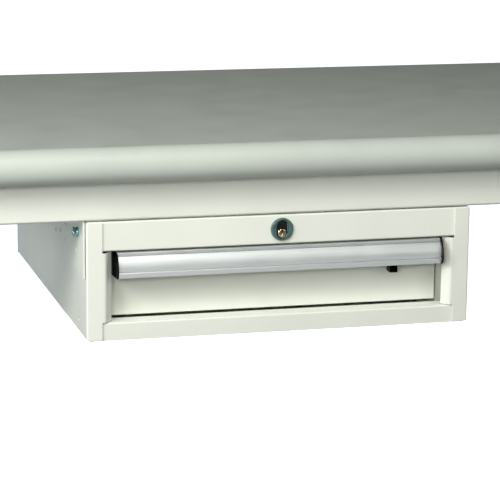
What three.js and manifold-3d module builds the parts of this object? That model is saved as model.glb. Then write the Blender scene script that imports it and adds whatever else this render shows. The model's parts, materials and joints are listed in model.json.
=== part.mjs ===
// A steel-framed workbench with one lockable drawer unit hung under its top.
// Millimetres, +Z up. The origin is on the floor, under the middle of the bench,
// and the bench's front faces -Y. Nodes of the drawer unit are written in the
// unit's own frame: x from its middle, y back from its front, z up from its base.
import * as THREE from "three";
import { mergeVertices } from "three/addons/utils/BufferGeometryUtils.js";
import Module from "manifold-3d";

// ---- driving dimensions ----
const BENCH = { width: 1500, depth: 750, height: 850 };
const TOP = { thickness: 52, skin: 1, skinReturn: 55 };
const TUBE = { leg: 50, beamHeight: 55.5, beamDepth: 30, wall: 2, round: 4 };
const FRAME = { overhang: 42.5, legInset: 10, footRailHeight: 40, footRailBase: 100 };
const FOOT = { padRadius: 25, padHeight: 12, nutHeight: 8, nutAcross: 22, plate: 5 };
const FOOT_SCREW = { radius: 6, top: 78 };
const UNIT = { width: 564, depth: 600, height: 169.5, gapToBeam: 1.5 };
const SHEET = 1.5;
const RAIL = { front: 2.5, topFlange: 15, ledge: 33, ledgeDrop: 12, endInset: 3 };
const OPENING = { bottom: 24.5, top: 127 };
const COLUMN = { wide: 25.5, narrow: 22.5, returnIn: 10, returnDeep: 11.5, lowered: 1 };
const COLUMN_GAP = { above: 2, below: 1 };
const BRACKET = { thick: 2, standoff: 1.5, front: 5, trim: 15, back: 243, base: 89.5, flange: 30, notch: 32 };
const REAR_BRACKET = { start: 415, long: 175, bossZ: 130, bossIn: 30 };
const BOSS_RADIUS = 10;
const BOLT = { y: 44, z: 148.5, across: 13, head: 8, washer: 3, radius: 4, hole: 4.5, tip: 24 };
const PANEL = { halfWidth: 243, front: 35, back: 46.5, bottom: 27, top: 124 };
const TRAY = { halfWidth: 232.5, back: 560, bottom: 33, sideTop: 110, backTop: 100 };
const RUNNER = { bottom: 60, top: 105, start: 50, long: 510 };
const HANDLE = { halfLength: 238, capThick: 2, bottom: 89, top: 124.5, crest: 103, crestY: -4.5 };
const CATCH = { left: 168, wide: 12, front: 18, bottom: 73 };
const LOCK = { z: 148.5, rosette: 16.5, proud: 4, recess: 5.5, ovalWide: 17, ovalHigh: 27, back: 37.5 };
const PLUG = { drop: 6, radius: 6.4, bore: 6.5, setback: 1, keyWide: 2, keyHigh: 9, keyDeep: 12 };

const topBase = BENCH.height - TOP.thickness;
const beamBase = topBase - TUBE.beamHeight;
const frontFace = -BENCH.depth / 2 + FRAME.overhang;
const unitBase = beamBase - UNIT.gapToBeam - UNIT.height;
const unitSide = UNIT.width / 2;
const legOuter = BENCH.width / 2 - FRAME.legInset;
const legBase = FOOT.padHeight + FOOT.nutHeight;

// ---- materials ----
function finish(color, roughness, metalness) {
  return new THREE.MeshStandardMaterial({ color, roughness, metalness });
}
const creamPaint = finish(0xe9eddc, 0.45, 0);
const greyPaint = finish(0xc2c8c4, 0.45, 0);
const laminate = finish(0x9ca196, 0.5, 0);
const chipboard = finish(0xb89a6c, 0.9, 0);
const aluminium = finish(0xd9dcd8, 0.35, 0.9);
const zinc = finish(0x9fb0ad, 0.3, 1);
const nickel = finish(0xb8b0a0, 0.25, 1);
const blackPlastic = finish(0x101312, 0.3, 0);
const tealPlastic = finish(0x5a7a7a, 0.4, 0);
const rubber = finish(0x1c1d1d, 0.85, 0);

// ---- shape helpers ----
const wasm = await Module();
wasm.setup();

function outline(points, holes = []) {
  const shape = new THREE.Shape(points.map(([a, b]) => new THREE.Vector2(a, b)));
  shape.holes = holes.map((hole) => new THREE.Path(hole.map(([a, b]) => new THREE.Vector2(a, b))));
  return shape;
}

// Extrusions along each axis. The outline's pairs are (x, y), (x, z) and (y, z).
const turnedTo = {
  z: new THREE.Matrix4(),
  x: new THREE.Matrix4().set(0, 0, 1, 0, 1, 0, 0, 0, 0, 1, 0, 0, 0, 0, 0, 1),
  y: new THREE.Matrix4().set(0, 1, 0, 0, 0, 0, 1, 0, 1, 0, 0, 0, 0, 0, 0, 1),
};
function prism(axis, points, from, to, holes = []) {
  const swapped = (loop) => loop.map(([a, b]) => [b, a]).reverse();
  const shape = axis === "y" ? outline(swapped(points), holes.map(swapped)) : outline(points, holes);
  const body = new THREE.ExtrudeGeometry(shape, { depth: to - from, bevelEnabled: false, steps: 1 });
  body.translate(0, 0, from);
  return body.applyMatrix4(turnedTo[axis]);
}

const rectangle = (a0, a1, b0, b1) => [[a0, b0], [a1, b0], [a1, b1], [a0, b1]];
const block = (x0, x1, y0, y1, z0, z1) => prism("z", rectangle(x0, x1, y0, y1), z0, z1);

function arc(centreA, centreB, radius, fromDegrees, toDegrees, steps) {
  return Array.from({ length: steps + 1 }, (_, i) => {
    const angle = THREE.MathUtils.degToRad(fromDegrees + ((toDegrees - fromDegrees) * i) / steps);
    return [centreA + radius * Math.cos(angle), centreB + radius * Math.sin(angle)];
  });
}
const circle = (a, b, radius, sides) => arc(a, b, radius, 0, 360 - 360 / sides, sides - 1);
const hexagon = (a, b, across) => circle(a, b, across / Math.sqrt(3), 6);

function roundedRectangle(a0, a1, b0, b1, radius) {
  return [
    ...arc(a1 - radius, b1 - radius, radius, 0, 90, 4),
    ...arc(a0 + radius, b1 - radius, radius, 90, 180, 4),
    ...arc(a0 + radius, b0 + radius, radius, 180, 270, 4),
    ...arc(a1 - radius, b0 + radius, radius, 270, 360, 4),
  ];
}
function stadium(wide, high, z, steps) {
  const radius = wide / 2;
  const reach = high / 2 - radius;
  return [...arc(0, z + reach, radius, 0, 180, steps), ...arc(0, z - reach, radius, 180, 360, steps)];
}
function tube(axis, a0, a1, b0, b1, from, to) {
  const w = TUBE.wall;
  const inner = roundedRectangle(a0 + w, a1 - w, b0 + w, b1 - w, TUBE.round - w);
  return prism(axis, roundedRectangle(a0, a1, b0, b1, TUBE.round), from, to, [inner]);
}

// ---- joining and cutting ----
function solid(geometry) {
  const bare = new THREE.BufferGeometry().setAttribute("position", geometry.getAttribute("position"));
  if (geometry.index) bare.setIndex(geometry.index);
  const merged = mergeVertices(bare, 1e-4);
  const triVerts = new Uint32Array(merged.index.array);
  const vertProperties = merged.attributes.position.array;
  return new wasm.Manifold(new wasm.Mesh({ numProp: 3, vertProperties, triVerts }));
}
function geometryOf(body) {
  const mesh = body.getMesh();
  return new THREE.BufferGeometry()
    .setAttribute("position", new THREE.BufferAttribute(mesh.vertProperties, 3))
    .setIndex(new THREE.BufferAttribute(mesh.triVerts, 1));
}
const join = (...pieces) => geometryOf(pieces.map(solid).reduce((a, b) => a.add(b)));
const cut = (piece, ...tools) => geometryOf(tools.map(solid).reduce((a, b) => a.subtract(b), solid(piece)));

// ---- the assembly ----
const bench = new THREE.Group();
const unit = new THREE.Group();
unit.position.set(0, frontFace, unitBase);
bench.add(unit);

function add(parent, name, geometry, material) {
  const mesh = new THREE.Mesh(geometry, material);
  mesh.name = name;
  parent.add(mesh);
}
// Both sides of a mirrored pair: build(side) gets -1 for left and +1 for right.
function pair(parent, name, build, material) {
  add(parent, `${name}_left`, build(-1), material);
  add(parent, `${name}_right`, build(1), material);
}
const sideSpan = (side, near, far) => (side < 0 ? [-far, -near] : [near, far]);
const sidePrism = (side, points, from, to) => prism("z", points.map(([x, y]) => [side * x, y]), from, to);
const crossPrism = (side, points, from, to) => prism("y", points.map(([x, z]) => [side * x, z]), from, to);

// ---- worktop ----
function addWorktop() {
  const half = BENCH.width / 2 - TOP.skin;
  const rear = BENCH.depth / 2 - TOP.skin;
  const radius = TOP.thickness / 2;
  const noseY = -BENCH.depth / 2 + radius;
  const noseZ = topBase + radius;
  const nose = (r) => arc(noseY, noseZ, r, 90, 270, 16);
  const coreNose = nose(radius - TOP.skin);
  const returnEnd = noseY + TOP.skinReturn;
  const coreBase = topBase + TOP.skin;
  const coreTop = BENCH.height - TOP.skin;

  const core = [...coreNose, [rear, coreBase], [rear, coreTop]];
  add(bench, "worktop_core", prism("x", core, -half, half), chipboard);
  const skin = [
    ...nose(radius),
    [returnEnd, topBase],
    [returnEnd, coreBase],
    ...coreNose.toReversed(),
    [rear, coreTop],
    [rear, BENCH.height],
  ];
  add(bench, "worktop_laminate", prism("x", skin, -half, half), laminate);
  add(bench, "worktop_backing_sheet", block(-half, half, returnEnd, rear, topBase, coreBase), laminate);
  const end = [...nose(radius), [rear, topBase], [rear, BENCH.height]];
  pair(bench, "worktop_edge_band", (s) => prism("x", end, ...sideSpan(s, half, BENCH.width / 2)), laminate);
  const rearBand = block(-half, half, rear, BENCH.depth / 2, topBase, BENCH.height);
  add(bench, "worktop_edge_band_rear", rearBand, laminate);
}

// ---- frame ----
function addFrame() {
  const legInner = legOuter - TUBE.leg;
  const rearFace = -frontFace;
  const betweenLegs = rearFace - TUBE.leg;
  const beam = (near) => tube("x", near, near + TUBE.beamDepth, beamBase, topBase, -legInner, legInner);
  add(bench, "front_beam", beam(frontFace), creamPaint);
  add(bench, "rear_beam", beam(rearFace - TUBE.beamDepth), creamPaint);

  const railIn = legOuter - (TUBE.leg + TUBE.beamDepth) / 2;
  const railOut = railIn + TUBE.beamDepth;
  const rail = (s, z0, z1) => tube("y", ...sideSpan(s, railIn, railOut), z0, z1, -betweenLegs, betweenLegs);
  pair(bench, "end_rail", (s) => rail(s, beamBase, topBase), creamPaint);
  const { footRailBase, footRailHeight } = FRAME;
  pair(bench, "foot_rail", (s) => rail(s, footRailBase, footRailBase + footRailHeight), creamPaint);

  for (const [end, near, far] of [["front", frontFace, -betweenLegs], ["rear", betweenLegs, rearFace]]) {
    const leg = (s) => {
      const [x0, x1] = sideSpan(s, legInner, legOuter);
      const plateX = [x0 + TUBE.wall, x1 - TUBE.wall];
      const plateY = [near + TUBE.wall, far - TUBE.wall];
      const centreX = (x0 + x1) / 2;
      const centreY = (near + far) / 2;
      const plate = roundedRectangle(...plateX, ...plateY, TUBE.round - TUBE.wall);
      const hole = circle(centreX, centreY, FOOT_SCREW.radius + 0.5, 24);
      const footPlate = prism("z", plate, legBase, legBase + FOOT.plate, [hole]);
      return join(tube("z", x0, x1, near, far, legBase, topBase), footPlate);
    };
    pair(bench, `leg_${end}`, leg, creamPaint);

    const centreY = (near + far) / 2;
    const centreX = legOuter - TUBE.leg / 2;
    const pad = (s) => {
      const profile = [
        [0, 0],
        [FOOT.padRadius, 0],
        [FOOT.padRadius, 4],
        [FOOT.padRadius - 3, 7],
        [FOOT_SCREW.radius + 5, FOOT.padHeight],
        [0, FOOT.padHeight],
      ];
      const turned = new THREE.LatheGeometry(profile.map(([r, z]) => new THREE.Vector2(r, z)), 24);
      return turned.rotateX(Math.PI / 2).translate(s * centreX, centreY, 0);
    };
    pair(bench, `foot_pad_${end}`, pad, rubber);
    const screw = (s) => join(
      prism("z", hexagon(s * centreX, centreY, FOOT.nutAcross), FOOT.padHeight, legBase),
      prism("z", circle(s * centreX, centreY, FOOT_SCREW.radius, 24), FOOT.padHeight, FOOT_SCREW.top),
    );
    pair(bench, `foot_screw_${end}`, screw, zinc);
  }
}

// ---- drawer unit: housing ----
// Round holes along x through a side of the unit, at (y, z).
function sideHole(side, y, z, radius, from, to) {
  return prism("x", circle(y, z, radius, 16), ...sideSpan(side, from, to));
}
const BRACKET_HOLES = [[220, 116], [180, 122], [139, 117], [84, 129], [139, 143]];
const DIMPLE = [58, 120];
const HOLE_RADIUS = 4;
const RIVET_HOLES = [[536, 15.5], [61, 19]];
const RIVET_RADIUS = 3.5;

function addHousing() {
  const outer = unitSide;
  const inner = unitSide - SHEET;
  const lipX = outer - COLUMN.wide;
  const tipX = lipX - COLUMN.returnIn;
  const slope = Math.hypot(COLUMN.returnIn, COLUMN.returnDeep);
  const thickX = (SHEET * slope) / COLUMN.returnDeep;

  const columnTop = UNIT.height - COLUMN.lowered;
  const side = (s) => {
    const narrow = outer - COLUMN.narrow;
    const panel = [
      [outer, 0],
      [outer, UNIT.depth],
      [inner, UNIT.depth],
      [inner, SHEET],
      [narrow, SHEET],
      [narrow, 0],
    ];
    const column = [
      [inner, 0],
      [inner, SHEET],
      [lipX, SHEET],
      [tipX, COLUMN.returnDeep],
      [tipX - thickX, COLUMN.returnDeep],
      [lipX - thickX, 0],
    ];
    const flange = block(...sideSpan(s, inner - 18, inner + 0.5), 5, UNIT.depth - 5, 0, SHEET);
    const body = join(
      sidePrism(s, panel, 0, columnTop),
      sidePrism(s, column, OPENING.bottom + COLUMN_GAP.below, OPENING.top - COLUMN_GAP.above),
      flange,
    );
    const hole = (y, z, radius) => sideHole(s, y, z, radius, inner - 5, outer + 5);
    const small = [...BRACKET_HOLES, ...RIVET_HOLES].map(([y, z]) => hole(y, z, RIVET_RADIUS));
    return cut(body, ...small, hole(BOLT.y, BOLT.z, BOLT.hole));
  };
  pair(unit, "housing_side", side, greyPaint);

  const { front, topFlange, ledge, ledgeDrop, endInset } = RAIL;
  const faceBack = front + SHEET;
  const flangeBack = faceBack + topFlange;
  const topRail = join(
    block(-inner, inner, front, faceBack, OPENING.top, UNIT.height),
    block(-inner, inner, front, flangeBack, OPENING.top, OPENING.top + SHEET),
    block(-inner, inner, front, flangeBack, UNIT.height - SHEET, UNIT.height),
  );
  const lockHole = prism("y", stadium(LOCK.ovalWide + 1, LOCK.ovalHigh + 1, LOCK.z, 12), -5, 10);
  add(unit, "front_rail_top", cut(topRail, lockHole), creamPaint);
  const railEnd = inner - endInset;
  const bottomRail = join(
    block(-railEnd, railEnd, front, faceBack, -SHEET, OPENING.bottom),
    block(-railEnd, railEnd, front, ledge, OPENING.bottom - SHEET, OPENING.bottom),
    block(-railEnd, railEnd, ledge - SHEET, ledge, OPENING.bottom - ledgeDrop, OPENING.bottom),
  );
  add(unit, "front_rail_bottom", bottomRail, creamPaint);

  const rear = UNIT.depth - SHEET;
  add(unit, "housing_floor", block(-railEnd, railEnd, faceBack, rear, -SHEET, 0), greyPaint);
  const roof = block(-inner, inner, flangeBack, rear, UNIT.height - SHEET, UNIT.height);
  add(unit, "housing_top", roof, greyPaint);
  add(unit, "housing_back", block(-inner, inner, rear, UNIT.depth, SHEET, UNIT.height), greyPaint);

  const webX = tipX + SHEET;
  const wallFront = PANEL.back + 0.5;
  const wallBack = rear - 10;
  const wall = (s) => sidePrism(
    s,
    [
      [inner, wallFront],
      [inner, wallFront + SHEET],
      [webX + SHEET, wallFront + SHEET],
      [webX + SHEET, wallBack],
      [inner, wallBack],
      [inner, wallBack + SHEET],
      [webX, wallBack + SHEET],
      [webX, wallFront],
    ],
    SHEET,
    BOLT.z - 10,
  );
  pair(unit, "runner_wall", wall, greyPaint);
}

// ---- drawer unit: hangers ----
// Each plate stands off the side panel on pressed bosses and hangs from the worktop by its flange.
// The right front plate is trimmed, so that its edge stays behind the column.
function addHangers() {
  const inner = unitSide + BRACKET.standoff;
  const outer = inner + BRACKET.thick;
  const roof = UNIT.height + UNIT.gapToBeam + TUBE.beamHeight;
  const flange = (s, from, to) => {
    const span = sideSpan(s, inner, outer + BRACKET.flange);
    return block(...span, from, to, roof - BRACKET.thick, roof);
  };
  const boss = (s, y, z) => prism("x", circle(y, z, BOSS_RADIUS, 24), ...sideSpan(s, unitSide, outer));
  const hole = (s, y, z, radius) => sideHole(s, y, z, radius, unitSide - 5, outer + 5);

  const front = (s) => {
    const { front: untrimmed, trim, back: y1, base, notch } = BRACKET;
    const y0 = s < 0 ? untrimmed : untrimmed + trim;
    const lowered = UNIT.height;
    const plate = [[y0, base], [y1, base], [y1, roof], [notch, roof], [notch, lowered], [y0, lowered]];
    const body = join(
      prism("x", plate, ...sideSpan(s, inner, outer)),
      flange(s, notch, y1),
      boss(s, BOLT.y, BOLT.z),
    );
    const holes = BRACKET_HOLES.map(([y, z]) => hole(s, y, z, HOLE_RADIUS));
    const dimple = sideHole(s, ...DIMPLE, HOLE_RADIUS, outer - 1, outer + 5);
    return cut(body, ...holes, dimple, hole(s, BOLT.y, BOLT.z, BOLT.hole));
  };
  pair(unit, "hanger_bracket_front", front, greyPaint);

  const rear = (s) => {
    const { start, long, bossZ, bossIn } = REAR_BRACKET;
    const end = start + long;
    return join(
      block(...sideSpan(s, inner, outer), start, end, BRACKET.base, roof),
      flange(s, start, end),
      boss(s, start + bossIn, bossZ),
      boss(s, end - bossIn, bossZ),
    );
  };
  pair(unit, "hanger_bracket_rear", rear, greyPaint);

  const bolt = (s) => {
    const { y, z, across, head, washer, radius, tip } = BOLT;
    return join(
      prism("x", circle(y, z, across / Math.sqrt(3), 24), ...sideSpan(s, outer, outer + washer)),
      prism("x", hexagon(y, z, across), ...sideSpan(s, outer, outer + head)),
      prism("x", circle(y, z, radius, 20), ...sideSpan(s, outer + head - tip, outer + head)),
    );
  };
  pair(unit, "hanger_bolt", bolt, zinc);
}

// ---- drawer unit: telescopic runners ----
function addRunners() {
  const wallFace = unitSide - COLUMN.wide - COLUMN.returnIn;
  const channel = (web, lip, low, high) => {
    const inside = web + Math.sign(lip - web) * SHEET;
    return [
      [web, low],
      [lip, low],
      [lip, low + SHEET],
      [inside, low + SHEET],
      [inside, high - SHEET],
      [lip, high - SHEET],
      [lip, high],
      [web, high],
    ];
  };
  const { bottom, top, start, long } = RUNNER;
  const fixedWeb = wallFace + SHEET;
  const fixed = channel(fixedWeb, fixedWeb - 9, bottom, top);
  const middle = channel(fixedWeb - 4, fixedWeb - 12, bottom + 4, top - 4);
  const moving = channel(TRAY.halfWidth, TRAY.halfWidth + 7, bottom + 9, top - 9);
  pair(unit, "runner_cabinet_member", (s) => crossPrism(s, fixed, start, start + long), zinc);
  pair(unit, "runner_middle_member", (s) => crossPrism(s, middle, start + 2, start + long - 10), zinc);
  pair(unit, "runner_drawer_member", (s) => crossPrism(s, moving, start, start + long - 10), zinc);
}

// ---- drawer ----
function addDrawer() {
  const outer = TRAY.halfWidth;
  const inner = outer - SHEET;
  const behindPanel = PANEL.front + SHEET;
  const rear = TRAY.back - SHEET;
  const trayBase = TRAY.bottom + SHEET;
  const side = (s) => block(...sideSpan(s, inner, outer), behindPanel, TRAY.back, TRAY.bottom, TRAY.sideTop);
  pair(unit, "drawer_side", side, greyPaint);
  add(unit, "drawer_bottom", block(-inner, inner, behindPanel, rear, TRAY.bottom, trayBase), greyPaint);
  add(unit, "drawer_back", block(-inner, inner, rear, TRAY.back, TRAY.bottom, TRAY.backTop), greyPaint);

  const w = PANEL.halfWidth;
  const pan = [
    [-w, PANEL.front],
    [w, PANEL.front],
    [w, PANEL.back],
    [w - SHEET, PANEL.back],
    [w - SHEET, behindPanel],
    [-w + SHEET, behindPanel],
    [-w + SHEET, PANEL.back],
    [-w, PANEL.back],
  ];
  const shell = join(
    prism("z", pan, PANEL.bottom, PANEL.top),
    block(-w, w, PANEL.front, PANEL.back, PANEL.bottom, PANEL.bottom + SHEET),
    block(-w, w, PANEL.front, PANEL.back, PANEL.top - SHEET, PANEL.top),
  );
  const tongueSlot = block(-9, 26, behindPanel + 1, PANEL.back - 3, PANEL.top - 5, PANEL.top + 5);
  add(unit, "drawer_front_panel", cut(shell, tongueSlot), creamPaint);
}

// ---- handle ----
// The grip's face bulges forward, furthest at the crest's height.
const gripFace = (z, curve = 0.027) => HANDLE.crestY + curve * (z - HANDLE.crest) ** 2;
const gripCurve = (from, to, back, steps = 8) => Array.from({ length: steps + 1 }, (_, i) => {
  const z = from + ((to - from) * i) / steps;
  return [gripFace(z) + back, z];
});

function addHandle() {
  const { bottom, top, halfLength } = HANDLE;
  const stripTop = top - 5.5;
  const stripBase = bottom + 8;
  const back = PANEL.front;
  const wallBack = back - 2.5;
  const topLip = [[back, top], [3.5, top], [2.5, top - 1], [2, stripTop + 0.5], [4, stripTop + 0.3]];
  const ridge = [[gripFace(stripBase) - 0.5, stripBase], [-5.5, bottom + 6.5], [-5.5, bottom + 5.5]];
  const lowerLip = [[-4.5, bottom + 1], [-3.5, bottom], [2, bottom], [2, bottom + 2], [-1.5, bottom + 3.5]];
  const wall = [[8, top - 2.5], [wallBack, top - 2.5], [wallBack, top - 24], [back, top - 24]];
  const profile = [
    ...topLip,
    ...gripCurve(stripTop + 0.3, stripBase + 0.3, 1.3),
    ...ridge,
    ...lowerLip,
    ...gripCurve(stripBase, stripTop, 3.3, 6),
    ...wall,
  ];
  add(unit, "handle_profile", prism("x", profile, -halfLength, halfLength), aluminium);
  const stripEnd = stripBase + 0.5;
  const strip = [...gripCurve(stripEnd, stripTop, 0), ...gripCurve(stripTop, stripEnd, 1)];
  add(unit, "handle_label_strip", prism("x", strip, -halfLength, halfLength), aluminium);

  const capTop = top + 1.5;
  const capBulge = [-11.5, 100];
  const capFace = Array.from({ length: 11 }, (_, i) => {
    const z = capTop - 4 - 3.1 * i;
    return [capBulge[0] + 0.0175 * (z - capBulge[1]) ** 2, z];
  });
  const cap = [[back, capTop], [4, capTop], ...capFace, [-5, bottom - 1], [back, bottom - 2.5]];
  const capSpan = (s) => sideSpan(s, halfLength, halfLength + HANDLE.capThick);
  pair(unit, "handle_end_cap", (s) => prism("x", cap, ...capSpan(s)), blackPlastic);

  const { front, bottom: low, left, wide } = CATCH;
  const lever = [
    ...arc(front + 2, low + 2, 2, 180, 270, 4),
    ...arc(back - 2.5, low + 2, 2, 270, 360, 4),
    [back - 0.5, low + 22],
    [back - 3.5, low + 22],
    [back - 3.5, low + 40],
    [front, low + 40],
  ];
  add(unit, "catch_lever", prism("x", lever, left, left + wide), blackPlastic);
}

// ---- lock ----
function addLock() {
  const railFace = RAIL.front;
  const railBack = railFace + SHEET;
  const face = railFace - LOCK.proud;
  const plugZ = LOCK.z - PLUG.drop;
  const through = [face - 10, LOCK.back + 10];
  const oval = (grow) => stadium(LOCK.ovalWide + grow, LOCK.ovalHigh + grow, LOCK.z, 12);
  const rosette = join(
    prism("y", circle(0, LOCK.z, LOCK.rosette, 48), railFace - 1.5, railFace),
    prism("y", circle(0, LOCK.z, LOCK.rosette - 1, 48), face, railFace - 1.5),
  );
  add(unit, "lock_rosette", cut(rosette, prism("y", oval(0.6), ...through)), tealPlastic);

  const bore = prism("y", circle(0, plugZ, PLUG.bore, 32), ...through);
  add(unit, "lock_barrel", cut(prism("y", oval(0), face + LOCK.recess, LOCK.back), bore), nickel);
  const nut = prism("y", circle(0, LOCK.z, 18, 8), railBack, railBack + 4);
  add(unit, "lock_nut", cut(nut, prism("y", oval(0.6), ...through)), zinc);

  const plugFace = face + PLUG.setback;
  const plug = prism("y", circle(0, plugZ, PLUG.radius, 32), plugFace, LOCK.back + 0.5);
  const { keyWide, keyHigh, keyDeep } = PLUG;
  const key = rectangle(-keyWide / 2, keyWide / 2, plugZ - keyHigh / 2, plugZ + keyHigh / 2);
  add(unit, "lock_plug", cut(plug, prism("y", key, plugFace - 1, plugFace + keyDeep)), nickel);
  const tongue = [...arc(0, plugZ, 6, 90, 270, 8), ...arc(22, plugZ, 4, -90, 90, 6)];
  add(unit, "lock_tongue", prism("y", tongue, LOCK.back + 1, LOCK.back + 4), zinc);
}

addWorktop();
addFrame();
addHousing();
addHangers();
addRunners();
addDrawer();
addHandle();
addLock();

export default bench;
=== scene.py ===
import json
import math

import bmesh
import bpy
from mathutils import Matrix, Vector


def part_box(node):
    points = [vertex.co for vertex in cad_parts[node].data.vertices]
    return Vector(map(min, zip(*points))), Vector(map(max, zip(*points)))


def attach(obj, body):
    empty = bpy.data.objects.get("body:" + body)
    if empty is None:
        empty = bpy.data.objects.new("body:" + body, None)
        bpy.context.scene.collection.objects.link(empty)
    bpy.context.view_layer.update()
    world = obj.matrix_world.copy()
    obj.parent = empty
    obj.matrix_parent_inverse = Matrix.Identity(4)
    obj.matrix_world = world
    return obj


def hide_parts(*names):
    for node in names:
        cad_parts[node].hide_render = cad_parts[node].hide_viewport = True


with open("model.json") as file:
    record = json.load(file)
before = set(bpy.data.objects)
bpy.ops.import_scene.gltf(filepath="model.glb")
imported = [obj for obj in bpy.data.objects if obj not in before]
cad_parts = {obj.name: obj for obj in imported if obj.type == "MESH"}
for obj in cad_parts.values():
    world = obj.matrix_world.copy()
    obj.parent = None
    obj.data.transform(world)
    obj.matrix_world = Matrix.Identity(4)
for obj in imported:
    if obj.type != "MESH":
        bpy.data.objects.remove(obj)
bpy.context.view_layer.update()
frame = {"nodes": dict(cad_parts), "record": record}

NODES = frame["nodes"]
RECORD = frame["record"]
BODY_OF = {node: body for body, nodes in RECORD["behaviour"]["bodies"].items() for node in nodes}
SLOT_OF = {row["node"]: row["material_slot"] for row in RECORD["subparts"]}
MM = 0.001
SIDES = (("left", -1), ("right", 1))
ENDS = ("front", "rear")


# ---- places read from the frame ----
def corners(node):
    """The lowest and highest corner of a CAD node."""
    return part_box(node)


def middle(node):
    low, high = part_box(node)
    return (low + high) / 2


# ---- node helpers for materials ----
def new_material(name):
    """A material with its shader, node tree and a texture coordinate in metres."""
    material = bpy.data.materials.new(name)
    material.use_nodes = True
    tree = material.node_tree
    shader = tree.nodes["Principled BSDF"]
    coords = tree.nodes.new("ShaderNodeTexCoord")
    return material, tree, shader, coords.outputs["Object"]


def noise(tree, coords, scale, detail=2.0, roughness=0.5, stretch=(1, 1, 1)):
    mapping = tree.nodes.new("ShaderNodeMapping")
    mapping.inputs["Scale"].default_value = stretch
    tree.links.new(coords, mapping.inputs["Vector"])
    node = tree.nodes.new("ShaderNodeTexNoise")
    node.inputs["Scale"].default_value = scale
    node.inputs["Detail"].default_value = detail
    node.inputs["Roughness"].default_value = roughness
    tree.links.new(mapping.outputs["Vector"], node.inputs["Vector"])
    return node.outputs["Fac"]


def ramp(tree, value, *stops):
    """A colour ramp of (position, colour) stops driven by a value."""
    node = tree.nodes.new("ShaderNodeValToRGB")
    elements = node.color_ramp.elements
    while len(elements) < len(stops):
        elements.new(0.5)
    for element, (position, color) in zip(elements, stops):
        element.position = position
        element.color = (*color, 1)
    tree.links.new(value, node.inputs["Fac"])
    return node.outputs["Color"]


def spread(tree, value, low, high):
    """The value's middle range stretched to run from low to high."""
    node = tree.nodes.new("ShaderNodeMapRange")
    node.inputs["From Min"].default_value = 0.3
    node.inputs["From Max"].default_value = 0.7
    node.inputs["To Min"].default_value = low
    node.inputs["To Max"].default_value = high
    tree.links.new(value, node.inputs["Value"])
    return node.outputs["Result"]


def bump(tree, shader, *layers):
    """Bump layers, each (height, distance in metres, strength), chained onto the shader's normal."""
    normal = None
    for height, distance, strength in layers:
        node = tree.nodes.new("ShaderNodeBump")
        node.inputs["Distance"].default_value = distance
        node.inputs["Strength"].default_value = strength
        tree.links.new(height, node.inputs["Height"])
        if normal is not None:
            tree.links.new(normal, node.inputs["Normal"])
        normal = node.outputs["Normal"]
    tree.links.new(normal, shader.inputs["Normal"])


def shade(color, factor):
    return tuple(min(1.0, c * factor) for c in color)


# ---- materials ----
def powder_coat(name, color):
    """Satin powder coat: a faint cloudy tone and the coat's fine orange peel."""
    material, tree, shader, coords = new_material(name)
    cloud = noise(tree, coords, 9, 4)
    tone = ramp(tree, cloud, (0.3, shade(color, 0.97)), (0.7, shade(color, 1.02)))
    tree.links.new(tone, shader.inputs["Base Color"])
    peel = noise(tree, coords, 900, 2)
    grain = noise(tree, coords, 3200, 1)
    tree.links.new(spread(tree, peel, 0.36, 0.46), shader.inputs["Roughness"])
    bump(tree, shader, (peel, 0.0003, 0.12), (grain, 0.0001, 0.08))
    shader.inputs["Specular IOR Level"].default_value = 0.4
    return material


def weighted_sum(tree, first, first_share, second, second_share):
    scaled = tree.nodes.new("ShaderNodeMath")
    scaled.operation = "MULTIPLY"
    scaled.inputs[1].default_value = second_share
    tree.links.new(second, scaled.inputs[0])
    total = tree.nodes.new("ShaderNodeMath")
    total.operation = "MULTIPLY_ADD"
    total.inputs[1].default_value = first_share
    tree.links.new(first, total.inputs[0])
    tree.links.new(scaled.outputs[0], total.inputs[2])
    return total.outputs[0]


def pressed_laminate(name, color):
    """Matt high-pressure laminate: tiny flecks over a soft mottle, with a pearl-like bump."""
    material, tree, shader, coords = new_material(name)
    fleck = noise(tree, coords, 1400, 2, 0.6)
    mottle = noise(tree, coords, 14, 5, 0.55)
    mix = weighted_sum(tree, mottle, 0.35, fleck, 0.65)
    tone = ramp(tree, mix, (0.35, shade(color, 0.93)), (0.5, color), (0.65, shade(color, 1.06)))
    tree.links.new(tone, shader.inputs["Base Color"])
    pearl = noise(tree, coords, 420, 2)
    tree.links.new(spread(tree, mottle, 0.42, 0.5), shader.inputs["Roughness"])
    bump(tree, shader, (pearl, 0.0006, 0.12), (fleck, 0.0002, 0.1))
    return material


def anodised(name, color, roughness):
    """Satin anodised aluminium with fine die lines along the extrusion."""
    material, tree, shader, coords = new_material(name)
    lines = noise(tree, coords, 900, 3, 0.6, (0.012, 1, 1))
    cloud = noise(tree, coords, 30, 3)
    tone = ramp(tree, lines, (0.3, shade(color, 0.94)), (0.7, shade(color, 1.03)))
    tree.links.new(tone, shader.inputs["Base Color"])
    shader.inputs["Metallic"].default_value = 1
    tree.links.new(spread(tree, cloud, roughness - 0.03, roughness + 0.04), shader.inputs["Roughness"])
    bump(tree, shader, (lines, 0.0001, 0.15))
    return material


def plated(name, color, roughness, tint):
    """Plated steel: a patchy passivation tint over fine rolling marks."""
    material, tree, shader, coords = new_material(name)
    patch = noise(tree, coords, 120, 4, 0.6)
    marks = noise(tree, coords, 700, 2, 0.5, (1, 0.08, 1))
    tree.links.new(ramp(tree, patch, (0.35, color), (0.65, tint)), shader.inputs["Base Color"])
    shader.inputs["Metallic"].default_value = 1
    tree.links.new(spread(tree, marks, roughness - 0.06, roughness + 0.08), shader.inputs["Roughness"])
    bump(tree, shader, (marks, 0.0001, 0.2))
    return material


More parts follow.
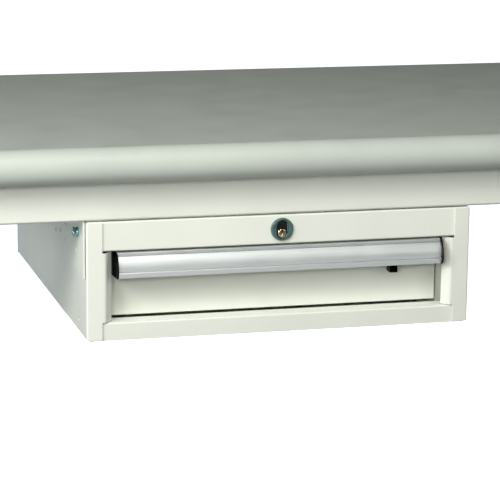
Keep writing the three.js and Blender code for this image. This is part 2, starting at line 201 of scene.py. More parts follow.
def moulded(name, color, roughness, grain=1300, specular=0.5):
    """Moulded plastic with a fine spark-eroded grain."""
    material, tree, shader, coords = new_material(name)
    fine = noise(tree, coords, grain, 3)
    cloud = noise(tree, coords, 60, 2)
    tone = ramp(tree, cloud, (0.3, shade(color, 0.85)), (0.7, shade(color, 1.2)))
    tree.links.new(tone, shader.inputs["Base Color"])
    tree.links.new(spread(tree, fine, roughness - 0.04, roughness + 0.06), shader.inputs["Roughness"])
    bump(tree, shader, (fine, 0.0001, 0.15))
    shader.inputs["Specular IOR Level"].default_value = specular
    return material


def raw_board(name):
    """Chipboard: pressed flakes in several brown tones."""
    material, tree, shader, coords = new_material(name)
    cells = tree.nodes.new("ShaderNodeTexVoronoi")
    cells.inputs["Scale"].default_value = 320
    tree.links.new(coords, cells.inputs["Vector"])
    tone = ramp(tree, cells.outputs["Distance"], (0.1, (0.5, 0.36, 0.2)), (0.9, (0.3, 0.2, 0.1)))
    tree.links.new(tone, shader.inputs["Base Color"])
    shader.inputs["Roughness"].default_value = 0.85
    bump(tree, shader, (cells.outputs["Distance"], 0.0004, 0.4))
    return material


FINISH = {
    "cream_paint": powder_coat("cream_powder_coat", (0.86, 0.895, 0.805)),
    "laminate": pressed_laminate("grey_green_laminate", (0.54, 0.59, 0.53)),
    "chipboard": raw_board("chipboard"),
    "zinc_steel": plated("bright_zinc", (0.62, 0.67, 0.66), 0.26, (0.5, 0.6, 0.61)),
    "aluminium": anodised("satin_aluminium", (0.79, 0.82, 0.805), 0.46),
    "cover_strip": anodised("cover_strip_silver", (0.80, 0.845, 0.83), 0.52),
    "black_plastic": moulded("black_plastic", (0.0004, 0.0008, 0.0008), 0.2, specular=0.06),
    "rosette_plastic": moulded("grey_teal_plastic", (0.065, 0.13, 0.125), 0.26),
    "nickel": plated("nickel", (0.80, 0.72, 0.54), 0.14, (0.66, 0.56, 0.36)),
    "rubber": moulded("foot_rubber", (0.02, 0.02, 0.02), 0.6, 500),
}
BLUE_ZINC = plated("blue_zinc", (0.34, 0.5, 0.5), 0.2, (0.16, 0.33, 0.35))
# The barrel's near-black colour is partly painted shade: it darkens the recess inside the ring's oval along
# with the barrel's own dark metal.
BARREL_SHADE_FINISH = plated("barrel_painted_shade", (0.055, 0.065, 0.045), 0.36, (0.025, 0.035, 0.025))


# ---- mesh helpers ----
def finish_piece(piece, node, material=None):
    """The piece stands for its CAD node: it rides on the node's body and takes its finish."""
    slot = SLOT_OF[node]
    piece.data.materials.append(material or FINISH[slot])
    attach(piece, BODY_OF[node])
    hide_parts(node)


def extra_piece(piece, body, slot, material=None):
    """A small piece that CAD leaves out."""
    piece.data.materials.append(material or FINISH[slot])
    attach(piece, body)


def object_from(name, mesh_maker):
    mesh = bpy.data.meshes.new(name)
    build = bmesh.new()
    mesh_maker(build)
    bmesh.ops.recalc_face_normals(build, faces=build.faces)
    build.to_mesh(mesh)
    build.free()
    piece = bpy.data.objects.new(name, mesh)
    bpy.context.scene.collection.objects.link(piece)
    return piece


def soften(piece, width, segments=3, angle=30, smooth=35):
    """Rounds the edges and shades the result smooth across gentle bends."""
    piece.data.shade_smooth()
    piece.data.set_sharp_from_angle(angle=math.radians(smooth))
    if width:
        bevel = piece.modifiers.new("edges", "BEVEL")
        bevel.width = width
        bevel.segments = segments
        bevel.limit_method = "ANGLE"
        bevel.angle_limit = math.radians(angle)
        bevel.use_clamp_overlap = True
        bevel.harden_normals = True
    weighted = piece.modifiers.new("normals", "WEIGHTED_NORMAL")
    weighted.keep_sharp = True
    weighted.weight = 100
    return piece


AXIS_ORDER = {"x": (1, 2, 0), "y": (0, 2, 1), "z": (0, 1, 2)}


def place(axis, a, b, along):
    """A point from its two outline coordinates and its place along the axis."""
    point = [0.0, 0.0, 0.0]
    first, second, third = AXIS_ORDER[axis]
    point[first] = a
    point[second] = b
    point[third] = along
    return Vector(point)


def prism(name, axis, outline, start, end, width=0.0, segments=3):
    """An extrusion of a closed outline, in metres, along an axis."""
    def make(build):
        near = [build.verts.new(place(axis, a, b, start)) for a, b in outline]
        far = [build.verts.new(place(axis, a, b, end)) for a, b in outline]
        for i in range(len(outline)):
            j = (i + 1) % len(outline)
            build.faces.new((near[i], near[j], far[j], far[i]))
        build.faces.new(near)
        build.faces.new(far)
    return soften(object_from(name, make), width, segments)


ON_AXIS = 1e-7


def turned(name, axis, centre, profile, sides=64):
    """A turned piece: profile is (radius, place along the axis), open or starting and ending on the axis."""
    first, second = centre

    def ring_at(build, radius, along):
        if radius < ON_AXIS:
            return [build.verts.new(place(axis, first, second, along))]
        ring = []
        for i in range(sides):
            angle = 2 * math.pi * i / sides
            a = first + radius * math.cos(angle)
            b = second + radius * math.sin(angle)
            ring.append(build.verts.new(place(axis, a, b, along)))
        return ring

    def make(build):
        rings = [ring_at(build, radius, along) for radius, along in profile]
        for near, far in zip(rings, rings[1:]):
            for i in range(sides):
                j = (i + 1) % sides
                if len(near) == 1:
                    build.faces.new((near[0], far[j], far[i]))
                elif len(far) == 1:
                    build.faces.new((near[i], near[j], far[0]))
                else:
                    build.faces.new((near[i], near[j], far[j], far[i]))
    return soften(object_from(name, make), 0)


def arc(centre, radius, start, end, steps):
    """Points on an arc, angles in degrees."""
    points = []
    for i in range(steps + 1):
        angle = math.radians(start + (end - start) * i / steps)
        points.append((centre[0] + radius * math.cos(angle), centre[1] + radius * math.sin(angle)))
    return points


def polygon(centre, radius, sides):
    """The corners of a regular outline."""
    return arc(centre, radius, 0, 360 - 360 / sides, sides - 1)


GENTLE_TURN = math.radians(20)
LONGEST_REACH = 0.45
CORNER_STEPS = 4


def rounded(outline, radius):
    """The outline with each corner that turns more than a little replaced by a curve."""
    result = []
    count = len(outline)
    for i, point in enumerate(outline):
        here = Vector(point)
        before = Vector(outline[i - 1]) - here
        after = Vector(outline[(i + 1) % count]) - here
        turn = math.pi - before.angle(after)
        if turn < GENTLE_TURN:
            result.append(tuple(here))
            continue
        shortest = min(LONGEST_REACH * before.length, LONGEST_REACH * after.length)
        reach = min(radius * math.tan(turn / 2), shortest)
        start = here + before.normalized() * reach
        end = here + after.normalized() * reach
        for step in range(CORNER_STEPS + 1):
            t = step / CORNER_STEPS
            bend = start * (1 - t) ** 2 + here * 2 * t * (1 - t) + end * t ** 2
            result.append(tuple(bend))
    return result


STADIUM_STEPS = 24


def stadium(centre_z, wide, high):
    """An upright slot's outline: a half circle over another, with straight sides between."""
    radius = wide / 2
    reach = high / 2 - radius
    upper = arc((0, centre_z + reach), radius, 0, 180, STADIUM_STEPS)
    return upper + arc((0, centre_z - reach), radius, 180, 360, STADIUM_STEPS)


def box_outline(a0, a1, b0, b1):
    return [(a0, b0), (a1, b0), (a1, b1), (a0, b1)]


def cut_from(piece, cutter, operation="DIFFERENCE"):
    """Applies the cutter to the piece and removes the cutter."""
    modifier = piece.modifiers.new("cut", "BOOLEAN")
    modifier.operation = operation
    modifier.solver = "EXACT"
    modifier.object = cutter
    while piece.modifiers[0] != modifier:
        with bpy.context.temp_override(object=piece, active_object=piece):
            bpy.ops.object.modifier_move_up(modifier=modifier.name)
    with bpy.context.temp_override(object=piece, active_object=piece):
        bpy.ops.object.modifier_apply(modifier=modifier.name)
    bpy.data.objects.remove(cutter)


def settle(piece):
    """Turns the piece's modifiers into its mesh."""
    graph = bpy.context.evaluated_depsgraph_get()
    mesh = bpy.data.meshes.new_from_object(piece.evaluated_get(graph))
    piece.modifiers.clear()
    piece.data = mesh


SHEET = 0.0015
BEND = 0.0024


def sheet(name, faces, holes=(), bend=BEND):
    """Sheet metal behind the faces of its outer skin, the front face first, with its bends rounded."""
    def make(build):
        found = {}

        def corner(point):
            key = tuple(round(value, 6) for value in point)
            if key not in found:
                found[key] = build.verts.new(point)
            return found[key]
        for face in faces:
            build.faces.new([corner(point) for point in face])
    piece = object_from(name, make)
    if piece.data.polygons[0].normal.y > 0:
        piece.data.flip_normals()
    bends = piece.modifiers.new("bends", "BEVEL")
    bends.width = bend
    bends.segments = 5
    bends.limit_method = "ANGLE"
    bends.angle_limit = math.radians(25)
    metal = piece.modifiers.new("metal", "SOLIDIFY")
    metal.thickness = SHEET
    metal.offset = -1
    metal.use_even_offset = True
    settle(piece)
    for hole in holes:
        cut_from(piece, hole)
    return soften(piece, 0.0002, 2, 50, 35)


def strip_faces(axis, path, start, end):
    """Faces of a bent strip: its path of outline pairs swept along an axis."""
    faces = []
    for near, far in zip(path, path[1:]):
        faces.append([place(axis, *near, start), place(axis, *far, start),
                      place(axis, *far, end), place(axis, *near, end)])
    return faces


# ---- the drawer unit's own frame: millimetres back from its front and up from its base ----
UNIT_LOW = corners("housing_side_left")[0]
UNIT_FRONT = UNIT_LOW.y
UNIT_BASE = UNIT_LOW.z


def unit_y(millimetres):
    return UNIT_FRONT + millimetres * MM


def unit_z(millimetres):
    return UNIT_BASE + millimetres * MM


def unit_outline(points):
    """(back, up) pairs of the unit's frame as (y, z) in metres."""
    return [(unit_y(y), unit_z(z)) for y, z in points]


# ---- CAD nodes that keep their shape ----
WELD_REACH = 0.00001


def dress(node, width):
    """Keeps a CAD node: joins its flat faces, rounds its edges and gives it its material."""
    piece = NODES[node]
    piece.data.materials.clear()
    piece.data.materials.append(FINISH[SLOT_OF[node]])
    weld = piece.modifiers.new("weld", "WELD")
    weld.merge_threshold = WELD_REACH
    flat = piece.modifiers.new("flat", "DECIMATE")
    flat.decimate_type = "DISSOLVE"
    flat.angle_limit = math.radians(1)
    soften(piece, width, 2)


# ---- worktop ----
NOSE_STEPS = 72
BAND_EDGE = 0.0004


def build_worktop():
    """The laminate runs over the top, round the nose and a little way back under it."""
    low, high = corners("worktop_laminate")
    radius = (high.z - low.z) / 2
    skin = low.x - corners("worktop_edge_band_left")[0].x
    nose = (low.y + radius, low.z + radius)
    returned = corners("worktop_backing_sheet")[0].y
    round_nose = arc(nose, radius, 90, 270, NOSE_STEPS)
    outline = round_nose + [(returned, low.z), (returned, low.z + skin)]
    outline += arc(nose, radius - skin, 270, 90, NOSE_STEPS)
    outline += [(high.y, high.z - skin), (high.y, high.z)]
    finish_piece(prism("laminate_skin", "x", outline, low.x, high.x), "worktop_laminate")

    end = round_nose + [(high.y, low.z), (high.y, high.z)]
    for name, _ in SIDES:
        node = f"worktop_edge_band_{name}"
        band_low, band_high = corners(node)
        band = prism(f"edge_band_{name}", "x", end, band_low.x, band_high.x, BAND_EDGE)
        finish_piece(band, node)
    for node in ("worktop_core", "worktop_backing_sheet"):
        dress(node, 0)
    dress("worktop_edge_band_rear", BAND_EDGE)


# ---- frame ----
def bead(name, corner_points, thick, body):
    """A painted weld bead along a closed path."""
    curve = bpy.data.curves.new(name, "CURVE")
    curve.dimensions = "3D"
    curve.bevel_depth = thick
    curve.bevel_resolution = 3
    spline = curve.splines.new("POLY")
    spline.points.add(len(corner_points) - 1)
    for point, place_at in zip(spline.points, corner_points):
        point.co = (*place_at, 1)
    spline.use_cyclic_u = True
    path = bpy.data.objects.new(name + "_path", curve)
    bpy.context.scene.collection.objects.link(path)
    mesh = bpy.data.meshes.new_from_object(path.evaluated_get(bpy.context.evaluated_depsgraph_get()))
    bpy.data.objects.remove(path)
    mesh.materials.clear()
    piece = bpy.data.objects.new(name, mesh)
    bpy.context.scene.collection.objects.link(piece)
    mesh.shade_smooth()
    extra_piece(piece, body, "cream_paint")


TUBE_EDGE = 0.0006
WELD_RADIUS = 0.0022
WELD_CORNER = 0.004


def build_frame():
    """The welded frame's tubes, with a bead round each end of the beams and rails."""
    tubes = ["front_beam", "rear_beam"]
    tubes += [f"{part}_{side}" for part in ("end_rail", "foot_rail") for side, _ in SIDES]
    legs = [f"leg_{end}_{side}" for end in ENDS for side, _ in SIDES]
    for node in tubes + legs:
        dress(node, TUBE_EDGE)
    for node in ("front_beam", "rear_beam"):
        low, high = corners(node)
        for end, x in (("left", low.x), ("right", high.x)):
            loop = rounded(box_outline(low.y, high.y, low.z, high.z), WELD_CORNER)
            bead(f"weld_{node}_{end}", [(x, y, z) for y, z in loop], WELD_RADIUS, "bench")
    for part in ("end_rail", "foot_rail"):
        for side, _ in SIDES:
            low, high = corners(f"{part}_{side}")
            for end, y in (("front", low.y), ("rear", high.y)):
                loop = rounded(box_outline(low.x, high.x, low.z, high.z), WELD_CORNER)
                bead(f"weld_{part}_{side}_{end}", [(x, y, z) for x, z in loop], WELD_RADIUS, "bench")


THREAD_PITCH = 0.00175
THREAD_MAJOR = 0.006
THREAD_MINOR = 0.0051
THREAD_CHAMFER = 0.0008
THREAD_START = 0.001
PAD_HUB = 0.011
PAD_ROUND = 0.001
COLLAR_EDGE = 0.0012
SCREW_SIDES = 32


def pad_profile(radius, height):
    """A disc with rounded edges that rises to a hub round the screw."""
    profile = [(0, 0), (radius - PAD_ROUND, 0), (radius, PAD_ROUND)]
    profile += [(radius, 0.0035), (radius - PAD_ROUND, 0.0048)]
    profile += [(PAD_HUB + 0.009, 0.0065), (PAD_HUB + 0.004, 0.0082)]
    profile += [(PAD_HUB, height - PAD_ROUND), (PAD_HUB - PAD_ROUND, height), (0, height)]
    return profile


def thread_profile(bottom, top):
    """A rod with one ridge a turn and a chamfered end."""
    start = bottom + THREAD_START
    profile = [(0, start), (THREAD_MINOR, start)]
    turns = int((top - bottom - 2 * THREAD_START) / THREAD_PITCH)
    for turn in range(turns):
        at = start + turn * THREAD_PITCH
        for radius, share in ((THREAD_MINOR, 0.1), (THREAD_MAJOR, 0.5), (THREAD_MINOR, 0.9)):
            profile.append((radius, at + share * THREAD_PITCH))
    return profile + [(THREAD_MINOR - THREAD_CHAMFER, top), (0, top)]


def build_foot(name):
    pad, screw = f"foot_pad_{name}", f"foot_screw_{name}"
    low, high = corners(pad)
    centre = middle(pad)
    at = (centre.x, centre.y)
    finish_piece(turned(f"pad_{name}", "z", at, pad_profile((high.x - low.x) / 2, high.z)), pad)

    screw_low, screw_high = corners(screw)
    collar_top = corners(f"leg_{name}")[0].z
    across = screw_high.y - screw_low.y
    hexagon = polygon(at, across / math.sqrt(3), 6)
    finish_piece(prism(f"collar_{name}", "z", hexagon, screw_low.z, collar_top, COLLAR_EDGE), screw)
    rod = turned(f"thread_{name}", "z", at, thread_profile(screw_low.z, screw_high.z), SCREW_SIDES)
    extra_piece(rod, f"foot_{name}", "zinc_steel")


def build_feet():
    for end in ENDS:
        for side, _ in SIDES:
            build_foot(f"{end}_{side}")


# ---- drawer unit ----
BRACKET_THICK = 0.002
BRACKET_FLANGE = 0.030
WASHER_THICK = 0.003
WASHER_STEP = 0.0004
WASHER_CHAMFER = 0.0005
HEAD_CHAMFER = 0.0012


def crown_profile(near, far, side, reach, flat):
    """A turned blank that cuts the hexagon's corners round and leaves a shallow dish in its face."""
    crown = far - side * HEAD_CHAMFER
    profile = [(0, near), (reach * 1.1, near), (reach * 1.1, crown - side * 0.0008)]
    profile += [(reach, crown), (flat - 0.0003, far), (flat * 0.55, far - side * 0.0001)]
    profile += [(flat * 0.5, far - side * 0.0005), (0, far - side * 0.0005)]
    return profile


def washer_profile(near, seat, side, reach, flat):
    """A thick washer with chamfered rims and a low step under the head."""
    chamfer = side * WASHER_CHAMFER
    step = seat + side * WASHER_STEP
    profile = [(0, near), (reach - WASHER_CHAMFER, near), (reach, near + chamfer), (reach, seat - chamfer)]
    profile += [(reach - WASHER_CHAMFER, seat), (flat - 0.0008, seat), (flat - 0.0008, step), (0, step)]
    return profile


def build_hanger_bolts():
    """A chamfered hexagon head over a thick washer, standing out from each front bracket."""
    for name, side in SIDES:
        node = f"hanger_bolt_{name}"
        low, high = corners(node)
        centre = middle(node)
        at = (centre.y, centre.z)
        plate_low, plate_high = corners(f"hanger_bracket_front_{name}")
        near = plate_low.x + BRACKET_FLANGE if side < 0 else plate_high.x - BRACKET_FLANGE
        far = low.x if side < 0 else high.x
        reach = (high.z - low.z) / 2
        flat = reach * math.cos(math.radians(30))
        seat = near + side * WASHER_THICK
        hexagon = polygon(at, reach, 6)
        head = prism(f"bolt_head_{name}", "x", hexagon, *sorted((seat + side * WASHER_STEP, far)))
        cut_from(head, turned("crown", "x", at, crown_profile(near, far, side, reach, flat)), "INTERSECT")
        head.modifiers.clear()
        finish_piece(soften(head, 0.0002, 2, 25, 30), node, BLUE_ZINC)

        washer = turned(f"bolt_washer_{name}", "x", at, washer_profile(near, seat, side, reach, flat))
        extra_piece(washer, "bench", "zinc_steel", BLUE_ZINC)


# Holes through the housing's sides, as (back, up) and (back, up, radius) in the unit's millimetres.
PLATE_HOLES = [(220, 116), (180, 122), (139, 117), (84, 129), (139, 143), (536, 15.5), (61, 19)]
PLATE_HOLE_RADIUS = 3.5
BOLT_HOLE = (44, 148.5, 4.5)
SIDE_HOLES = [(back, up, PLATE_HOLE_RADIUS) for back, up in PLATE_HOLES] + [BOLT_HOLE]
DRILL_REACH = 0.01
DRILL_SIDES = 24
COLUMN_NARROW = 0.0225
COLUMN_WIDE = 0.0275
RETURN_IN = 0.010
RETURN_DEEP = 11.5
WIDE_BASE = 25.5
WIDE_TOP = 125
FLANGE_ENDS = (5, 595)
FLANGE_WIDE = 0.0195
HOUSING_DEEP = 600


def grid_faces(point_at, first, second):
    """Faces between neighbouring values of two lists; point_at gives the corner of a pair."""
    faces = []
    for a0, a1 in zip(first, first[1:]):
        for b0, b1 in zip(second, second[1:]):
            faces.append([point_at(a0, b0), point_at(a1, b0), point_at(a1, b1), point_at(a0, b1)])
    return faces


def build_housing_side(name, side):
    """One sheet: the side, the front column with its slanted return, and the flange under the floor."""
    low, high = corners(f"housing_side_{name}")
    outer = low.x if side < 0 else high.x
    narrow, wide = outer - side * COLUMN_NARROW, outer - side * COLUMN_WIDE
    tip = wide - side * RETURN_IN
    rows = [0, WIDE_BASE, WIDE_TOP, (high.z - UNIT_BASE) / MM]

    def on_front(x, up):
        return (x, unit_y(0), unit_z(up))

    def on_side(back, up):
        return (outer, unit_y(back), unit_z(up))

    def on_return(across, up):
        return (wide + (tip - wide) * across, unit_y(RETURN_DEEP * across), unit_z(up))

    def on_flange(across, back):
        return (outer - side * across, unit_y(back), unit_z(0))
    skin = grid_faces(on_front, [outer, narrow], rows)
    skin += grid_faces(on_front, [narrow, wide], rows[1:3])
    skin += grid_faces(on_return, [0, 1], rows[1:3])
    skin += grid_faces(on_side, [0, *FLANGE_ENDS, HOUSING_DEEP], rows)
    skin += grid_faces(on_flange, [0, FLANGE_WIDE], FLANGE_ENDS)
    drills = []
    for back, up, radius in SIDE_HOLES:
        circle = polygon((unit_y(back), unit_z(up)), radius * MM, DRILL_SIDES)
        drills.append(prism("drill", "x", circle, outer - DRILL_REACH, outer + DRILL_REACH))
    finish_piece(sheet(f"side_sheet_{name}", skin, drills), f"housing_side_{name}")


LOCK_HOLE = (0.018, 0.028)
LEDGE_DROP = 0.012


def build_rails():
    """Two folded strips: the upper rail with the lock's hole, the lower rail with its ledge."""
    low, high = corners("front_rail_top")
    path = [(high.y, high.z), (low.y, high.z), (low.y, low.z), (high.y, low.z)]
    faces = strip_faces("x", path, low.x, high.x)
    lock = middle("lock_barrel").z
    hole = prism("drill", "y", stadium(lock, *LOCK_HOLE), low.y - DRILL_REACH, low.y + DRILL_REACH)
    finish_piece(sheet("upper_rail", [faces[1], faces[0], faces[2]], [hole]), "front_rail_top")

    low, high = corners("front_rail_bottom")
    path = [(high.y, high.z - LEDGE_DROP), (high.y, high.z), (low.y, high.z), (low.y, low.z)]
    faces = strip_faces("x", path, low.x, high.x)
    finish_piece(sheet("lower_rail", faces[::-1]), "front_rail_bottom")


WALL_EDGE = 0.0004
BRACKET_EDGE = 0.0005
COVER_EDGE = 0.0002


def build_housing():
    for name, side in SIDES:
        build_housing_side(name, side)
        dress(f"runner_wall_{name}", WALL_EDGE)
        dress(f"hanger_bracket_front_{name}", BRACKET_EDGE)
        dress(f"hanger_bracket_rear_{name}", BRACKET_EDGE)
    build_rails()
    for node in ("housing_floor", "housing_top", "housing_back"):
        dress(node, COVER_EDGE)


SCREWS_A_BRACKET = 3
SCREW_INSET = 0.014
FIRST_SCREW = 0.04
LAST_SCREW = 0.02


def pan_head(under):
    """The outline of a pan-head screw that hangs from a flange's underside."""
    profile = [(0, under - 0.0028), (0.0025, under - 0.0028), (0.0042, under - 0.0018)]
    profile += [(0.0048, under - 0.0002), (0.0048, under + 0.0005), (0, under + 0.0005)]
    return profile


def build_bracket_screws():
    """Pan-head screws up through each bracket's flange into the worktop."""
    for end in ENDS:
        for name, side in SIDES:
            low, high = corners(f"hanger_bracket_{end}_{name}")
            x = low.x + SCREW_INSET if side < 0 else high.x - SCREW_INSET
            span = high.y - low.y - FIRST_SCREW - LAST_SCREW
            for i in range(SCREWS_A_BRACKET):
                y = low.y + FIRST_SCREW + span * i / (SCREWS_A_BRACKET - 1)
                head = pan_head(high.z - BRACKET_THICK)
                screw = turned(f"flange_screw_{end}_{name}_{i}", "z", (x, y), head, SCREW_SIDES)
                extra_piece(screw, "bench", "zinc_steel")


# ---- runners ----
RUNNER_EDGE = 0.0003


def build_runners():
    for name, _ in SIDES:
        for part in ("cabinet", "middle", "drawer"):
            dress(f"runner_{part}_member_{name}", RUNNER_EDGE)


# ---- drawer ----
# The tongue's slot: from left to right in metres, from front to back in the unit's millimetres.
TONGUE_SLOT = (-0.009, 0.026, 37.5, 43.5)
PAN_BEND = 0.0014
TRAY_EDGE = 0.0003


def build_drawer():
    """The front is a shallow pan with a slot in its top for the lock's tongue."""
    low, high = corners("drawer_front_panel")
    front = [(x, low.y, z) for x, z in box_outline(low.x, high.x, low.z, high.z)]
    faces = [front]
    for near, far in zip(front, front[1:] + front[:1]):
        faces.append([near, far, (far[0], high.y, far[2]), (near[0], high.y, near[2])])
    x0, x1, near, far = TONGUE_SLOT
    outline = box_outline(x0, x1, unit_y(near), unit_y(far))
    slot = prism("drill", "z", outline, high.z - DRILL_REACH / 2, high.z + DRILL_REACH / 2)
    finish_piece(sheet("drawer_pan", faces, [slot], PAN_BEND), "drawer_front_panel")
    for node in ("drawer_bottom", "drawer_back", "drawer_side_left", "drawer_side_right"):
        dress(node, TRAY_EDGE)


# The grip's bowed face and its end caps, in the unit's millimetres.
CREST_HEIGHT = 103
CREST_Y = -4.5
GRIP_BOW = 0.027
STRIP_THICK = 1
CAP_CREST_HEIGHT = 100
CAP_CREST_Y = -11.5
CAP_BOW = 0.0175
CAP_FACE_HEIGHT = 32
CAP_CORNER = 0.002
CAP_EDGE = 0.0008


def grip_face(height):
    """How far back the grip's face stands at a height."""
    return CREST_Y + GRIP_BOW * (height - CREST_HEIGHT) ** 2


def grip_curve(start, end, back, steps=24):
    """Points along the bowed face between two heights, set back from it."""
    heights = [start + (end - start) * i / steps for i in range(steps + 1)]
    return [(grip_face(height) + back, height) for height in heights]


def build_handle():
    """An extrusion bowed forwards, a cover strip sunk into its face and a cap on each end."""
    low, high = corners("handle_profile")
    bottom = (low.z - UNIT_BASE) / MM
    top = (high.z - UNIT_BASE) / MM
    back = (high.y - UNIT_FRONT) / MM
    strip_top = top - 5.5
    strip_base = bottom + 8
    section = [(back, top)] + arc((3.6, top - 1.2), 1.2, 90, 180, 5)
    section += [(2.1, strip_top + 0.6), (4, strip_top + 0.3)]
    section += grip_curve(strip_top + 0.3, strip_base + 0.3, 1.3)
    section += [(grip_face(strip_base) - 0.5, strip_base)] + arc((-4.4, bottom + 6.2), 1.1, 110, 190, 8)
    section += [(-4.4, bottom + 1)] + arc((-3.5, bottom + 0.9), 0.9, 180, 270, 5)
    section += [(2, bottom), (2, bottom + 2), (-1.5, bottom + 3.5)]
    section += grip_curve(strip_base, strip_top, 3.3, 16)
    section += [(8, top - 2.5), (back - 2.5, top - 2.5), (back - 2.5, top - 24), (back, top - 24)]
    profile = prism("grip_extrusion", "x", unit_outline(section), low.x, high.x, 0.00015, 2)
    finish_piece(profile, "handle_profile")

    strip_end = strip_base + 0.5
    strip = grip_curve(strip_end, strip_top, 0) + grip_curve(strip_top, strip_end, STRIP_THICK)
    cover = prism("grip_cover_strip", "x", unit_outline(strip), low.x, high.x, 0.0001, 2)
    finish_piece(cover, "handle_label_strip")

    cap_top = top + 1.5
    heights = [cap_top - 4 - i for i in range(CAP_FACE_HEIGHT)]
    face = [(CAP_CREST_Y + CAP_BOW * (height - CAP_CREST_HEIGHT) ** 2, height) for height in heights]
    cap = [(back, cap_top), (4, cap_top)] + face + [(-5, bottom - 1), (back, bottom - 2.5)]
    outline = rounded(unit_outline(cap), CAP_CORNER)
    for name, _ in SIDES:
        node = f"handle_end_cap_{name}"
        cap_low, cap_high = corners(node)
        plate = prism(f"grip_cap_{name}", "x", outline, cap_low.x, cap_high.x, CAP_EDGE, 4)
        finish_piece(plate, node)


CATCH_ROUND = 2.5
CATCH_PAD = 22
CATCH_STEM = 3
CATCH_TOP = 40


def build_catch():
    """A finger pad with rounded corners under a narrower stem that runs up behind the grip."""
    low, high = corners("catch_lever")
    base = (low.z - UNIT_BASE) / MM
    front = (low.y - UNIT_FRONT) / MM
    back = (high.y - UNIT_FRONT) / MM
    lever = arc((front + CATCH_ROUND, base + CATCH_ROUND), CATCH_ROUND, 180, 270, 6)
    lever += arc((back - CATCH_ROUND, base + CATCH_ROUND), CATCH_ROUND, 270, 360, 6)
    lever += [(back, base + CATCH_PAD), (back - CATCH_STEM, base + CATCH_PAD)]
    lever += [(back - CATCH_STEM, base + CATCH_TOP), (front, base + CATCH_TOP)]
    finish_piece(prism("catch_block", "x", unit_outline(lever), low.x, high.x, 0.0012, 4), "catch_lever")


# ---- lock ----
RING_LIP = 0.0024
RING_FLAT = 0.0062
RING_SINK = 0.0004
BARREL_GAP = 0.0006
PLUG_GAP = 0.0001
PLUG_RIM = 0.0011
PLUG_CROWN = 0.0003
PLUG_SHOULDER = 0.0007
KEYWAY_WIDE = 0.002
KEYWAY_HIGH = 0.009
KEYWAY_DEEP = 0.011
KEYWAY_PAST = 0.002
TONGUE_EDGE = 0.0005
NUT_EDGE = 0.0004


def build_lock_ring():
    """A ring with a rounded rim and a flat face, with an oval hole for the barrel."""
    low, high = corners("lock_rosette")
    radius = (high.x - low.x) / 2
    centre = middle("lock_rosette")
    barrel_low, barrel_high = corners("lock_barrel")
    face = low.y + RING_SINK
    profile = [(0, high.y), (radius, high.y)]
    for a, b in arc((0, 0), RING_LIP, 0, 90, 8):
        profile.append((radius - RING_LIP + a, low.y + RING_LIP - b))
    profile += [(radius - RING_FLAT, face), (0, face)]
    ring = turned("lock_ring", "y", (0, centre.z), profile, 96)
    wide = barrel_high.x - barrel_low.x + BARREL_GAP
    tall = barrel_high.z - barrel_low.z + BARREL_GAP
    past = DRILL_REACH / 2
    cut_from(ring, prism("lock_hole", "y", stadium(centre.z, wide, tall), low.y - past, high.y + past))
    finish_piece(soften(ring, 0.0003, 3), "lock_rosette")


def build_lock_barrel():
    low, high = corners("lock_barrel")
    plug_low, plug_high = corners("lock_plug")
    radius = (plug_high.x - plug_low.x) / 2 + PLUG_GAP
    outline = stadium(middle("lock_rosette").z, high.x - low.x, high.z - low.z)
    body = prism("lock_barrel_body", "y", outline, low.y, high.y)
    start, end = low.y - DRILL_REACH, high.y + DRILL_REACH
    profile = [(0, start), (radius, start), (radius, end), (0, end)]
    cut_from(body, turned("bore", "y", (0, (plug_low.z + plug_high.z) / 2), profile))
    # The barrel takes the near-black finish that paints the shade in the ring's recess.
    finish_piece(soften(body, 0.0002, 2), "lock_barrel", BARREL_SHADE_FINISH)


def build_lock_plug():
    """A round plug with a rounded rim, a slightly domed face and a keyway."""
    low, high = corners("lock_plug")
    radius = (high.x - low.x) / 2
    centre_z = (low.z + high.z) / 2
    inner = radius - PLUG_RIM
    rim = arc((0, 0), PLUG_RIM, 0, 90, 5)[::-1]
    profile = [(0, low.y), (inner, low.y + PLUG_CROWN)]
    profile += [(inner + a, low.y + PLUG_SHOULDER + PLUG_RIM - b) for a, b in rim]
    profile += [(radius, high.y), (0, high.y)]
    plug = turned("lock_plug_body", "y", (0, centre_z), profile)
    half_wide, half_high = KEYWAY_WIDE / 2, KEYWAY_HIGH / 2
    outline = box_outline(-half_wide, half_wide, centre_z - half_high, centre_z + half_high)
    cut_from(plug, prism("keyway", "y", outline, low.y - KEYWAY_PAST, low.y + KEYWAY_DEEP))
    finish_piece(soften(plug, 0.00015, 2), "lock_plug")


def build_lock():
    build_lock_ring()
    build_lock_barrel()
    build_lock_plug()
    dress("lock_tongue", TONGUE_EDGE)
    dress("lock_nut", NUT_EDGE)


build_worktop()
build_frame()
build_feet()
build_housing()
build_hanger_bolts()
build_bracket_screws()
build_runners()
build_drawer()
build_handle()
build_catch()
build_lock()


# ---- camera ----
CAMERA_PLACE = Vector((-0.8661, -3.3771, 1.3807))
CAMERA_YAW = math.radians(15.056)
CAMERA_PITCH = math.radians(12.319)
CAMERA_ROLL = math.radians(0.654)
CAMERA_SENSOR = 36
CAMERA_LENS = 164.3


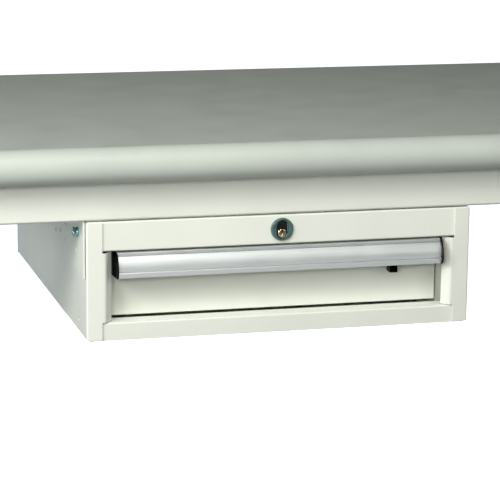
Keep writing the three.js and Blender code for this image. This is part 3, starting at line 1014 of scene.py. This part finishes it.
def add_camera():
    """A long lens that looks to the right and down at the drawer unit."""
    level_reach = math.cos(CAMERA_PITCH)
    across, along = math.sin(CAMERA_YAW) * level_reach, math.cos(CAMERA_YAW) * level_reach
    forward = Vector((across, along, -math.sin(CAMERA_PITCH)))
    level = forward.cross(Vector((0, 0, 1))).normalized()
    upright = level.cross(forward)
    right = level * math.cos(CAMERA_ROLL) + upright * math.sin(CAMERA_ROLL)
    up = upright * math.cos(CAMERA_ROLL) - level * math.sin(CAMERA_ROLL)
    data = bpy.data.cameras.new("camera")
    data.sensor_width = CAMERA_SENSOR
    data.lens = CAMERA_LENS
    camera = bpy.data.objects.new("camera", data)
    turned_to = Matrix((right, up, -forward)).transposed().to_4x4()
    camera.matrix_world = Matrix.Translation(CAMERA_PLACE) @ turned_to
    bpy.context.scene.collection.objects.link(camera)
    bpy.context.scene.camera = camera


# ---- light and floor ----
def area_light(name, location, target, size, power, color):
    data = bpy.data.lights.new(name, "AREA")
    data.shape = "RECTANGLE"
    data.size, data.size_y = size
    data.energy = power
    data.color = color
    light = bpy.data.objects.new(name, data)
    light.location = location
    light.rotation_euler = (Vector(target) - Vector(location)).to_track_quat("-Z", "Y").to_euler()
    bpy.context.scene.collection.objects.link(light)


WARM = (1, 0.985, 0.96)
COOL = (0.97, 0.99, 1)
SKY = (0.84, 0.93, 1)
# Each softbox: degrees right of straight in front, degrees up, watts and colour.
SOFTBOXES = {
    "key": (-54, 29, 34, WARM),
    "key_low": (-24, 15, 19.5, WARM),
    "key_high": (-14, 54, 23, WARM),
    "side_left": (-82, 4, 16.5, SKY),
    "fill_right": (42, 18, 7, WARM),
    "behind_right": (145, -6, 26, COOL),
    "behind": (180, -6, 16, COOL),
}
SOFTBOX_SIZE = (0.92, 0.67)
LIGHT_DISTANCE = 2.5
LIGHT_TARGET = Vector((0, UNIT_FRONT, UNIT_BASE + 0.1))
AMBIENT = 0.05
FLOOR_REACH = 40
FLOOR_GLOW_SEEN = 1.2


def add_lights():
    for name, (azimuth, elevation, power, color) in SOFTBOXES.items():
        across, up = math.radians(azimuth), math.radians(elevation)
        toward = Vector((math.sin(across) * math.cos(up), -math.cos(across) * math.cos(up), math.sin(up)))
        location = LIGHT_TARGET + toward * LIGHT_DISTANCE
        area_light(name, location, LIGHT_TARGET, SOFTBOX_SIZE, power, color)


def add_backdrop():
    """A world that is white behind the object and dim as a light."""
    world = bpy.data.worlds.new("studio")
    bpy.context.scene.world = world
    world.use_nodes = True
    tree = world.node_tree
    ambient = tree.nodes["Background"]
    ambient.inputs["Color"].default_value = (0.93, 0.97, 1, 1)
    ambient.inputs["Strength"].default_value = AMBIENT
    backdrop = tree.nodes.new("ShaderNodeBackground")
    backdrop.inputs["Color"].default_value = (1, 1, 1, 1)
    path = tree.nodes.new("ShaderNodeLightPath")
    mix = tree.nodes.new("ShaderNodeMixShader")
    tree.links.new(path.outputs["Is Camera Ray"], mix.inputs["Fac"])
    tree.links.new(ambient.outputs[0], mix.inputs[1])
    tree.links.new(backdrop.outputs[0], mix.inputs[2])
    tree.links.new(mix.outputs[0], tree.nodes["World Output"].inputs["Surface"])


def add_floor():
    """A plain pale floor, as bright as the backdrop to the camera."""
    def make(build):
        edge = box_outline(-FLOOR_REACH, FLOOR_REACH, -FLOOR_REACH, FLOOR_REACH)
        build.faces.new([build.verts.new((x, y, 0)) for x, y in edge])
    floor = object_from("floor", make)
    material, tree, shader, coords = new_material("pale_floor")
    tone = ramp(tree, noise(tree, coords, 2, 2), (0.3, (0.58, 0.59, 0.61)), (0.7, (0.62, 0.63, 0.65)))
    tree.links.new(tone, shader.inputs["Base Color"])
    shader.inputs["Roughness"].default_value = 0.8
    shader.inputs["Emission Color"].default_value = (0.9, 0.93, 1, 1)
    path = tree.nodes.new("ShaderNodeLightPath")
    glow = tree.nodes.new("ShaderNodeMapRange")
    glow.inputs["To Min"].default_value = AMBIENT
    glow.inputs["To Max"].default_value = FLOOR_GLOW_SEEN
    tree.links.new(path.outputs["Is Camera Ray"], glow.inputs["Value"])
    tree.links.new(glow.outputs["Result"], shader.inputs["Emission Strength"])
    floor.data.materials.append(material)
    floor.visible_diffuse = False


add_camera()
add_lights()
add_backdrop()
add_floor()
bpy.context.scene.view_settings.view_transform = "Standard"
